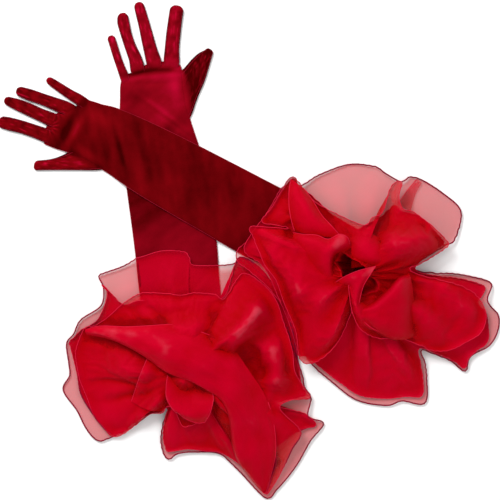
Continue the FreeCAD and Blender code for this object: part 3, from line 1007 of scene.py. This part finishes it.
LEFT_MIDDLE = [
    (-204, -69, 12, 6), (-222, -52, 9, 4), (-214, -66, 11, 6), (-228, -104, 9, 8), (-252, -119, 8, 8),
    (-263, -130, 7, 8), (-270, -138, 6, 8), (-268, -150, 6, 8), (-259, -186, 6, 10),
    (-252, -218, 5, 10), (-233, -248, 5, 10), (-210, -274, 5, 8), (-193, -274, 6, 8),
    (-172, -259, 9, 8), (-148, -244, 14, 4), (-134, -242, 16, 4), (-124, -235, 19, 2),
    (-127, -253, 12, 6), (-130, -277, 8, 8), (-125, -300, 6, 8), (-116, -301, 6, 8),
    (-92, -299, 7, 10), (-65, -302, 7, 10), (-43, -304, 7, 10), (-14, -322, 6, 10), (10, -350, 5, 8),
    (23, -365, 5, 6), (29, -352, 6, 8), (37, -320, 8, 8), (33, -299, 12, 6), (42, -293, 10, 6),
    (66, -275, 8, 6), (82, -268, 6, 6), (98, -262, 5, 6), (82, -245, 10, 6), (45, -235, 20, 2),
    (42, -228, 22, 2), (81, -218, 10, 6), (77, -200, 9, 8), (69, -152, 9, 8), (61, -111, 9, 8),
    (42, -66, 10, 8), (15, -28, 14, 6), (-11, -12, 17, 4), (-22, -20, 18, 4), (-35, -64, 22, 4),
    (-51, -74, 22, 6), (-105, -75, 20, 8), (-164, -75, 17, 8), (-188, -82, 14, 6),
]
LEFT_UPPER = [
    (-13, -36, 26, 10), (-37, -72, 30, 8), (-52, -66, 28, 10), (-82, -64, 26, 12), (-103, -67, 27, 12),
    (-124, -65, 26, 12), (-148, -64, 24, 12), (-166, -66, 22, 12), (-190, -81, 18, 12),
    (-210, -100, 16, 12), (-228, -112, 14, 12), (-247, -117, 12, 12), (-259, -144, 9, 12),
    (-261, -160, 8, 12), (-255, -195, 7, 14), (-244, -220, 6, 14), (-232, -249, 5, 14),
    (-217, -266, 5, 12), (-208, -277, 6, 12), (-193, -276, 8, 12), (-172, -262, 12, 12),
    (-151, -246, 18, 12), (-130, -243, 24, 8), (-124, -234, 30, 4), (-112, -240, 30, 6),
    (-100, -262, 24, 12), (-80, -258, 24, 12), (-66, -246, 26, 10), (-55, -225, 32, 6),
    (-34, -222, 40, 10), (-10, -255, 32, 14), (10, -285, 22, 14), (33, -300, 14, 12),
    (38, -322, 8, 10), (24, -366, 5, 8), (45, -335, 10, 10), (62, -300, 14, 10), (75, -270, 16, 10),
    (45, -236, 26, 8), (60, -225, 22, 8), (88, -222, 12, 8), (80, -205, 12, 10), (66, -180, 16, 14),
    (62, -150, 20, 16), (52, -115, 22, 18), (38, -75, 24, 20), (15, -48, 24, 16),
]
RIGHT_LOWER = [
    (78, 98, 8, 4), (105, 113, 5, 6), (147, 127, 4, 10), (186, 125, 5, 10), (203, 115, 8, 10),
    (215, 108, 10, 10), (227, 103, 10, 10), (240, 109, 6, 8), (258, 104, 5, 8), (288, 85, 4, 10),
    (313, 63, 4, 10), (315, 40, 5, 10), (306, 15, 8, 8), (292, 6, 14, 6), (265, -10, 18, 6),
    (242, -24, 22, 4), (255, -32, 16, 4), (283, -35, 8, 8), (320, -37, 5, 8), (360, -50, 4, 8),
    (356, -76, 12, 8), (371, -97, 5, 8), (371, -120, 4, 8), (358, -143, 4, 8), (331, -160, 8, 8),
    (322, -181, 4, 6), (300, -166, 8, 6), (270, -154, 14, 6), (256, -150, 18, 6), (263, -170, 10, 8),
    (265, -195, 5, 10), (261, -229, 3.5, 12), (228, -226, 4, 12), (204, -232, 3.5, 12),
    (158, -223, 4, 10), (116, -192, 5, 8), (93, -171, 6, 8), (80, -150, 6, 6), (66, -118, 10, 6),
    (48, -84, 16, 6), (26, -56, 20, 6), (2, -34, 20, 6), (-17, -18, 18, 6), (-18, 0, 20, 6),
    (-4, 14, 22, 6), (10, 32, 21, 8), (30, 64, 20, 8), (47, 92, 16, 6), (60, 97, 12, 6),
]
RIGHT_MIDDLE = [
    (60, 104, 20, 6), (73, 96, 18, 6), (99, 76, 22, 6), (130, 46, 30, 4), (151, 28, 38, 2),
    (171, 38, 36, 4), (192, 49, 30, 6), (214, 66, 24, 6), (228, 58, 22, 8), (254, 48, 16, 8),
    (288, 14, 14, 8), (275, -2, 20, 6), (246, -28, 28, 2), (283, -39, 14, 6), (318, -43, 9, 8),
    (350, -54, 7, 8), (346, -70, 9, 8), (340, -80, 10, 8), (354, -96, 8, 8), (358, -126, 6, 8),
    (352, -142, 6, 8), (341, -150, 7, 8), (328, -162, 8, 8), (321, -177, 6, 6), (306, -167, 9, 6),
    (280, -156, 14, 6), (253, -147, 20, 4), (256, -168, 12, 8), (259, -193, 7, 10), (257, -218, 5, 12),
    (233, -219, 5, 12), (202, -222, 5, 12), (166, -218, 6, 12), (135, -198, 6, 10), (100, -172, 8, 8),
    (86, -160, 9, 6), (73, -158, 10, 6), (69, -142, 10, 6), (58, -108, 10, 8), (43, -70, 12, 8),
    (22, -27, 20, 6), (-8, 0, 25, 6), (8, 32, 24, 8), (34, 64, 22, 8),
]
RIGHT_UPPER = [
    (72, 103, 26, 6), (60, 107, 27, 8), (48, 90, 26, 8), (33, 65, 25, 8), (18, 42, 26, 6),
    (36, 38, 34, 10), (58, 33, 42, 6), (30, 34, 38, 10), (1, 34, 34, 14), (8, 14, 30, 16),
    (21, -18, 28, 18), (40, -46, 28, 20), (52, -80, 28, 20), (68, -120, 26, 22), (74, -160, 24, 20),
    (90, -168, 24, 18), (111, -158, 28, 16), (131, -136, 36, 12), (144, -108, 42, 8),
    (150, -86, 44, 4), (146, -50, 56, 4), (146, -66, 58, 8), (152, -95, 54, 14), (165, -118, 48, 18),
    (190, -130, 40, 20), (222, -131, 34, 20), (252, -142, 28, 16), (272, -150, 22, 12),
    (295, -150, 20, 12), (318, -140, 18, 14), (345, -122, 16, 14), (352, -95, 16, 14),
    (340, -70, 20, 14), (318, -55, 26, 12), (285, -45, 32, 8), (255, -38, 38, 4), (236, -28, 42, 2),
    (250, -22, 36, 6), (275, -8, 28, 12), (294, 6, 24, 14), (288, 18, 26, 16), (272, 32, 30, 16),
    (255, 47, 34, 14), (240, 58, 36, 12), (226, 62, 38, 8), (222, 80, 32, 8), (226, 100, 26, 6),
    (212, 96, 26, 6), (204, 72, 32, 6), (196, 55, 38, 4), (180, 48, 44, 2), (165, 38, 48, 0),
    (100, 70, 34, 4),
]

LEFT_THROAT = dict(centre=(-95, -184), long=17, short=6, tilt=-25)
RIGHT_THROAT = dict(centre=(157, -37), long=40, short=16, tilt=-45)

# Folds that stand over the throats. Rows run across each fold; the named edges carry a hem.
LEFT_PETALS = [
    # the broad fold that lies across the ruffle from upper left to the lower right corner
    ([[(-246, -118, 16), (-222, -113, 24), (-183, -114, 32), (-147, -112, 36), (-110, -111, 38),
       (-62, -125, 38),
       (-27, -144, 36), (0, -181, 32), (24, -219, 28), (36, -262, 20), (38, -307, 14), (25, -360, 7)],
      [(-246, -120, 17), (-220, -119, 30), (-182, -124, 42), (-146, -127, 48), (-108, -130, 51),
       (-66, -144, 51),
       (-33, -163, 48), (-8, -196, 42), (14, -234, 36), (27, -272, 27), (33, -312, 18), (24, -360, 8)],
      [(-246, -122, 17), (-217, -126, 32), (-176, -138, 45), (-140, -149, 53), (-104, -156, 57),
       (-69, -170, 56),
       (-41, -187, 53), (-17, -214, 47), (2, -248, 41), (12, -282, 32), (20, -318, 21), (22, -361, 8)],
      [(-245, -124, 16), (-210, -131, 30), (-169, -148, 42), (-131, -167, 50), (-98, -178, 54),
       (-68, -192, 54),
       (-43, -207, 51), (-24, -230, 46), (-12, -262, 40), (-4, -292, 32), (8, -324, 21), (20, -362, 8)],
      [(-245, -126, 14), (-205, -134, 26), (-162, -154, 36), (-124, -181, 43), (-90, -193, 47),
       (-62, -208, 47),
       (-42, -222, 44), (-30, -246, 40), (-25, -276, 34), (-19, -304, 27), (-6, -328, 18),
        (18, -362, 7)],
      [(-244, -126, 11), (-205, -131, 22), (-162, -148, 31), (-124, -172, 37), (-92, -184, 40),
       (-66, -199, 40),
       (-47, -214, 37), (-34, -238, 31), (-30, -272, 22), (-25, -302, 16), (-11, -328, 11),
        (16, -362, 5)]],
     (("start", 0.04, 0.5), ("start", 0.74, 1)), False),
    # the small cupped fold below the throat
    ([[(-122, -186, 36), (-108, -190, 33), (-92, -195, 31), (-75, -201, 33), (-57, -208, 38)],
      [(-124, -202, 40), (-108, -206, 34), (-92, -209, 31), (-74, -213, 35), (-54, -218, 43)],
      [(-123, -220, 42), (-107, -225, 38), (-91, -228, 36), (-73, -230, 40), (-56, -231, 45)],
      [(-114, -236, 38), (-103, -241, 38), (-90, -244, 38), (-75, -246, 39), (-60, -244, 40)],
      [(-106, -243, 30), (-98, -249, 31), (-88, -254, 31), (-77, -257, 31), (-67, -256, 31)]],
     ("end", "left", "right"), False),
    # the fold beside it, its left edge free over the left bowl
    ([[(-150, -156, 2), (-140, -166, 3), (-130, -176, 3), (-120, -186, 1)],
      [(-158, -174, 5), (-146, -184, 7), (-134, -194, 6), (-122, -204, 1)],
      [(-168, -200, 4), (-153, -209, 7), (-138, -217, 6), (-124, -224, 1)],
      [(-177, -226, 1), (-160, -235, 2), (-144, -240, 2), (-129, -240, 1)]],
     ("left",), True),
]
RIGHT_PETALS = [
    # the lily-shaped fold: its front below the second hollow
    ([[(170, -80, 24), (183, -71, 18), (194, -63, 17), (206, -53, 23), (219, -40, 34), (234, -33, 34)],
      [(163, -87, 53), (178, -82, 57), (192, -72, 59), (205, -61, 60), (221, -46, 57), (238, -42, 40)],
      [(164, -97, 55), (180, -95, 60), (196, -90, 62), (213, -82, 61), (229, -74, 54), (242, -68, 38)],
      [(171, -106, 50), (186, -110, 55), (202, -111, 57), (218, -107, 54), (233, -103, 46),
       (245, -98, 32)],
      [(180, -117, 42), (194, -124, 45), (210, -128, 46), (225, -127, 43), (238, -123, 36),
       (249, -118, 26)],
      [(186, -121, 34), (199, -129, 36), (213, -134, 37), (229, -133, 34), (243, -129, 28),
       (252, -124, 20)]],
     (), False),
    # the lily's rolled lip, from left of the throat round to its front
    ([[(127, -47, 46), (141, -38, 56), (160, -30, 61), (184, -24, 62)],
      [(136, -50, 50), (148, -43, 60), (163, -38, 63), (177, -35, 61)],
      [(144, -55, 48), (151, -54, 58), (159, -53, 62), (167, -52, 57)],
      [(147, -68, 46), (151, -68, 56), (156, -69, 60), (162, -70, 55)],
      [(150, -83, 44), (153, -83, 54), (157, -84, 58), (160, -85, 54)],
      [(156, -98, 42), (158, -98, 51), (161, -99, 55), (164, -100, 54)],
      [(166, -111, 39), (169, -112, 47), (173, -113, 51), (178, -114, 50)],
      [(182, -120, 36), (187, -122, 42), (192, -123, 45), (197, -124, 45)]],
     ("start", "right"), False),
    # the fold that closes the throat on the left, its edge towards the top
    ([[(64, 26, 34), (80, 23, 42), (98, 22, 47), (115, 16, 51), (131, 23, 54), (143, 19, 53),
       (148, 8, 48)],
      [(64, 18, 38), (80, 15, 48), (98, 12, 54), (113, 6, 58), (127, 10, 61), (138, 8, 59),
       (147, 2, 48)],
      [(66, 6, 38), (82, 0, 49), (98, -3, 55), (109, -7, 59), (117, -6, 59), (122, -7, 55),
       (126, -9, 44)],
      [(70, -10, 37), (86, -16, 47), (100, -20, 53), (110, -23, 56), (117, -25, 55), (121, -27, 49),
       (124, -30, 38)],
      [(74, -28, 34), (90, -34, 42), (104, -38, 47), (114, -43, 49), (121, -46, 46), (127, -49, 40),
       (131, -52, 30)],
      [(78, -46, 30), (92, -52, 36), (106, -58, 40), (118, -66, 41), (128, -74, 38), (136, -78, 31),
       (142, -80, 22)]],
     ("start",), False),
    # the fold that closes it at the top
    ([[(147, 22, 40), (160, 28, 41), (176, 26, 41), (194, 16, 40)],
      [(149, 6, 47), (161, 9, 51), (176, 8, 52), (198, 0, 47)],
      [(150, -10, 44), (162, -9, 51), (178, -10, 54), (202, -14, 47)],
      [(150, -27, 32), (162, -25, 42), (178, -24, 46), (203, -25, 42)]],
     (), False),
    # the tall narrow fold at the upper left, its straight edge free
    ([[(61, 106, 27), (66, 102, 30), (73, 97, 30), (80, 92, 26)],
      [(58, 88, 30), (68, 84, 36), (80, 78, 38), (94, 72, 31)],
      [(58, 66, 31), (71, 62, 40), (88, 56, 44), (106, 52, 36)],
      [(61, 46, 32), (76, 42, 42), (96, 37, 47), (122, 34, 42)],
      [(66, 28, 31), (82, 24, 40), (104, 20, 45), (136, 18, 44)]],
     ("left", "right"), False),
]

# Pleats of the lower tier; here the heights are above what the pleat lies on.
RIGHT_PLEATS = [
    ([[(250, 106, 1.5), (254, 104, 2.5), (258, 101, 1.5)],
      [(238, 92, 1.5), (244, 88, 3), (249, 84, 1.5)],
      [(222, 70, 1.5), (231, 63, 3), (240, 56, 1.5)]],
     ("left",), True),
]

# A ridge of the upper tier runs from one place to another: x, y, x, y, width, height.
LEFT_RIDGES = [
    (10, -92, -20, -138, 16, 20), (-8, -150, 14, -180, 15, -22), (38, -150, 40, -190, 18, 16),
    (-222, -108, -60, -92, 15, -8), (-225, -160, -200, -215, 24, -9), (-140, -190, -155, -228, 12, -8),
    (-112, -214, -72, -226, 20, -14),
]
RIGHT_RIDGES = [
    (62, 30, 118, 16, 10, -12), (30, -5, 70, -60, 18, 12), (215, 10, 262, 22, 16, 12),
    (290, -60, 330, -90, 14, 8), (235, -60, 300, -110, 16, -10),
]
# `folds` are sets of radial folds: how many, their height, where they are fullest, and their seed.
LOWER = dict(grow=6, throat_z=30, fall=3.2, pleats=26, pleat=2.5, dense=0, ridges=())
MIDDLE = dict(LOWER, grow=3, throat_z=40, fall=2.6, dense=1.45)
UPPER = dict(grow=0, fall=1.7, pleats=24, pleat=4, dense=0, cap=66)
LEFT_SPECS = {
    "lower": (dict(LOWER, folds=[(9, 4, 0.55, 3), (17, 3, 0.5, 4)], seed=11, cap=40),
              dict(MIDDLE, folds=[(11, 5, 0.6, 23), (19, 3, 0.5, 24)], seed=21, cap=46)),
    "upper": (dict(UPPER, throat_z=43, folds=[(7, 7, 0.6, 5), (13, 3, 0.5, 6)], seed=12,
                   ridges=LEFT_RIDGES),),
}
RIGHT_SPECS = {
    "lower": (dict(LOWER, folds=[(9, 4, 0.55, 7), (17, 3, 0.5, 8)], seed=13, cap=44),
              dict(MIDDLE, folds=[(11, 5, 0.6, 27), (19, 3, 0.5, 28)], seed=23, cap=50)),
    "upper": (dict(UPPER, throat_z=50, folds=[(7, 6, 0.6, 9), (13, 5, 0.45, 10)], seed=14,
                   ridges=RIGHT_RIDGES),),
}

ground = Ground()
ground.z = sleeve_top(LEFT_GLOVE)
ground.soften(3)


def make_ruffles(glove, throat, lower, middle, upper, pleats, petals, specs):
    """Both ruffles of a glove; gives the throat's centre and ring, where the gathers end."""
    centre = np.array(throat["centre"])
    for tier, outlines, material, folds in (("lower", (lower, middle), ORGANZA_LOW, pleats),
                                            ("upper", (upper,), ORGANZA_UP, petals)):
        grids, hems, cuts = [], [], []
        for outline, spec in zip(outlines, specs[tier]):
            p, cut = build_tier(throat, centre, outline, spec)
            ring = p[0]
            cuts.append(cut)
            hems.append((p[-1], True, outer_shade(p, centre)))
            ground.add(fan_points(p), 1)
            ground.z = np.minimum(ground.z, 56)
            grids.append((p, True, near_throat(p) + spec["dense"]))
        for k, (rows, edges, lies) in enumerate(folds):
            p = petal(rows, 21.0 + k)
            if lies:
                p[..., 2] = ground.at(p[..., 0], p[..., 1]) + np.maximum(p[..., 2], 0.8)
            grids.append((p, False, 0.0))
            cuts.append(fold_strip(rows))
            for edge in edges:
                edge, first, last = edge if isinstance(edge, tuple) else (edge, 0, 1)
                path = {"start": p[0], "end": p[-1], "left": p[:, 0], "right": p[:, -1]}[edge]
                path = path[int(first * len(path)):int(last * len(path))]
                hems.append((path, False, np.zeros(len(path))))
        cloth = cloth_piece(f"{glove.side}_{tier}_ruffle_organza", grids, material)
        hem = hem_mesh(f"{glove.side}_{tier}_rolled_hem", hems)
        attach(cloth, glove.body)
        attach(hem, glove.body)
        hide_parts(f"{glove.side}_{tier}_ruffle")
        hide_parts(f"{glove.side}_{tier}_hem")
    return centre, ring


left_throat = make_ruffles(LEFT_GLOVE, LEFT_THROAT, LEFT_LOWER, LEFT_MIDDLE, LEFT_UPPER, (),
                           LEFT_PETALS, LEFT_SPECS)
sleeve = sleeve_top(RIGHT_GLOVE)
ground.z = np.maximum(ground.z, np.where(sleeve > 0, bridge.z + sleeve, 0))
right_throat = make_ruffles(RIGHT_GLOVE, RIGHT_THROAT, RIGHT_LOWER, RIGHT_MIDDLE, RIGHT_UPPER,
                            RIGHT_PLEATS, RIGHT_PETALS, RIGHT_SPECS)

# ---- the gloves' mouths ----

LOOP_ROWS = 9
LOOP_COLS = 120
TAPE_THICK = 0.8


def mouth_loop(name, glove, start, end, inset, ribs, material):
    """A flat-lying loop of tape round a sleeve's mouth, `inset` inside the velvet's outer face."""
    _, left, right, crown = glove.stations[-1]
    angle = np.linspace(0, 2 * math.pi, LOOP_COLS, endpoint=False)
    c, s = np.cos(angle), np.sin(angle)

    def ring(depth, along):
        half = (right - left) / 2 - 1.2 - depth
        above = 2.0 + (crown - 3.0 - depth) * np.abs(s) ** 0.8
        below = 2.0 - (1.4 - depth) * np.abs(s) ** 0.4
        z = np.maximum(np.where(s > 0, above, below), 0.5 + depth)
        xy = glove.lay.at((left + right) / 2 + half * np.sign(c) * np.abs(c) ** 0.8, along + 0 * c)
        return np.concatenate([xy, z[:, None]], -1)

    l = np.linspace(glove.mouth + start, glove.mouth + end, LOOP_ROWS)
    bump = ribs * np.cos(math.pi * np.arange(LOOP_ROWS))
    outer = [ring(inset + b, along) for b, along in zip(bump, l)]
    inner = [ring(inset + TAPE_THICK, along) for along in l[::-1]]
    points = np.array(outer + inner)
    faces = grid_faces(2 * LOOP_ROWS, LOOP_COLS, wrap_cols=True)
    last = (2 * LOOP_ROWS - 1) * LOOP_COLS
    for k in range(LOOP_COLS):
        after = (k + 1) % LOOP_COLS
        faces.append((last + k, last + after, after, k))
    obj = dress(make_mesh(name, points, faces), material)
    set_float(obj, "nap", np.full(points.shape[:2], 0.3))
    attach(obj, glove.body)
    return obj, path_length(points[0], True) * MM


for glove in GLOVES:
    binding, around = mouth_loop(glove.side + "_cuff_binding", glove, 8, -2, -0.9, 0.15,
                                 glove.velvet)
    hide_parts(glove.side + "_cuff_band")
    band, around = mouth_loop(glove.side + "_elastic_tape", glove, 12, 2, 0.7, 0.25,
                              ELASTIC)
    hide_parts(glove.side + "_elastic_band")

NECK_ROWS = 16


def neck(glove, centre, top):
    """The gathered end of the ruffles, from the glove's mouth up to the throat."""
    _, left, right, crown = glove.stations[-1]
    out = top[:, :2] - centre
    lay = glove.lay
    angle = np.arctan2(out[:, 1], out[:, 0]) - math.atan2(lay.across[1], lay.across[0])
    c, s = np.cos(angle), np.sin(angle)
    arch = crown * np.sqrt(np.clip(1 - c**2, 0, 1))
    mouth_xy = lay.at((left + right) / 2 + ((right - left) / 2 - 1.5) * c, glove.mouth - 3 + 0 * c)
    mouth_z = np.where(s * lay.thumb_side > 0, 1.0 + arch * 0.95, 0.6)
    rim = np.concatenate([mouth_xy, mouth_z[:, None]], -1)
    v = np.linspace(0, 1, NECK_ROWS)[:, None]
    p = rim + (top - rim) * v[..., None]
    p[..., 2] = rim[:, 2] + (top[:, 2] - rim[:, 2]) * v ** 1.4
    bulge = 2.9 * np.sin(math.pi * v) * wave(len(top), 30, 77, 0.3)
    p[..., :2] += bulge[..., None] * unit(out)
    # The neck lies deep in the throat: a darker organza and a lower painted light level paint it in
    # shade.
    obj = cloth_piece(glove.side + "_gathered_neck", [(p, True, 1.0)], ORGANZA_NECK_SHADED, 0.2)
    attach(obj, glove.body)
    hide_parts(glove.side + "_ruffle_gathers")


neck(LEFT_GLOVE, *left_throat)
neck(RIGHT_GLOVE, *right_throat)

# ---- floor, light, camera ----

FLOOR_SIZE = 6000.0
corners = [(x * FLOOR_SIZE, y * FLOOR_SIZE, -0.5) for x, y in ((-1, -1), (1, -1), (1, 1), (-1, 1))]
floor = make_mesh("floor", corners, [(0, 1, 2, 3)], False)
paper = Nodes("paper")
white = paper.ramp(paper.noise(60.0, 3.0, 0.5), [(0.0, (0.93, 0.93, 0.93)), (1.0, (0.96, 0.96, 0.96))])
paper.surface({"Base Color": white, "Roughness": 0.9, "Specular IOR Level": 0.0})
floor.data.materials.append(paper.mat)


def area_light(name, place, size, power):
    """A square lamp turned towards the middle of the table."""
    data = bpy.data.lights.new(name, "AREA")
    data.size = size
    data.energy = power
    obj = bpy.data.objects.new(name, data)
    bpy.context.scene.collection.objects.link(obj)
    obj.location = place
    obj.rotation_euler = (-Vector(place)).to_track_quat("-Z", "Y").to_euler()


area_light("key", (-0.9, 1.3, 1.7), 0.9, 46.0)
area_light("fill", (1.4, -0.8, 1.8), 1.8, 10.0)

SKY_STRENGTH = 0.62
sky = bpy.data.worlds.new("studio")
sky.use_nodes = True
background = sky.node_tree.nodes["Background"]
background.inputs[0].default_value = (1, 1, 1, 1)
background.inputs[1].default_value = SKY_STRENGTH
bpy.context.scene.world = sky
bpy.context.scene.view_settings.view_transform = "Standard"

# The camera looks straight down and takes in VIEW_WIDTH metres, VIEW_LEVEL above the table.
CAMERA_HEIGHT = 2.5
SENSOR_WIDTH = 36.0
VIEW_LEVEL = 0.005
VIEW_WIDTH = 0.75
camera_data = bpy.data.cameras.new("camera")
camera = bpy.data.objects.new("camera", camera_data)
bpy.context.scene.collection.objects.link(camera)
camera.location = (0, 0, CAMERA_HEIGHT)
camera_data.sensor_width = SENSOR_WIDTH
camera_data.lens = SENSOR_WIDTH * (CAMERA_HEIGHT - VIEW_LEVEL) / VIEW_WIDTH
bpy.context.scene.camera = camera
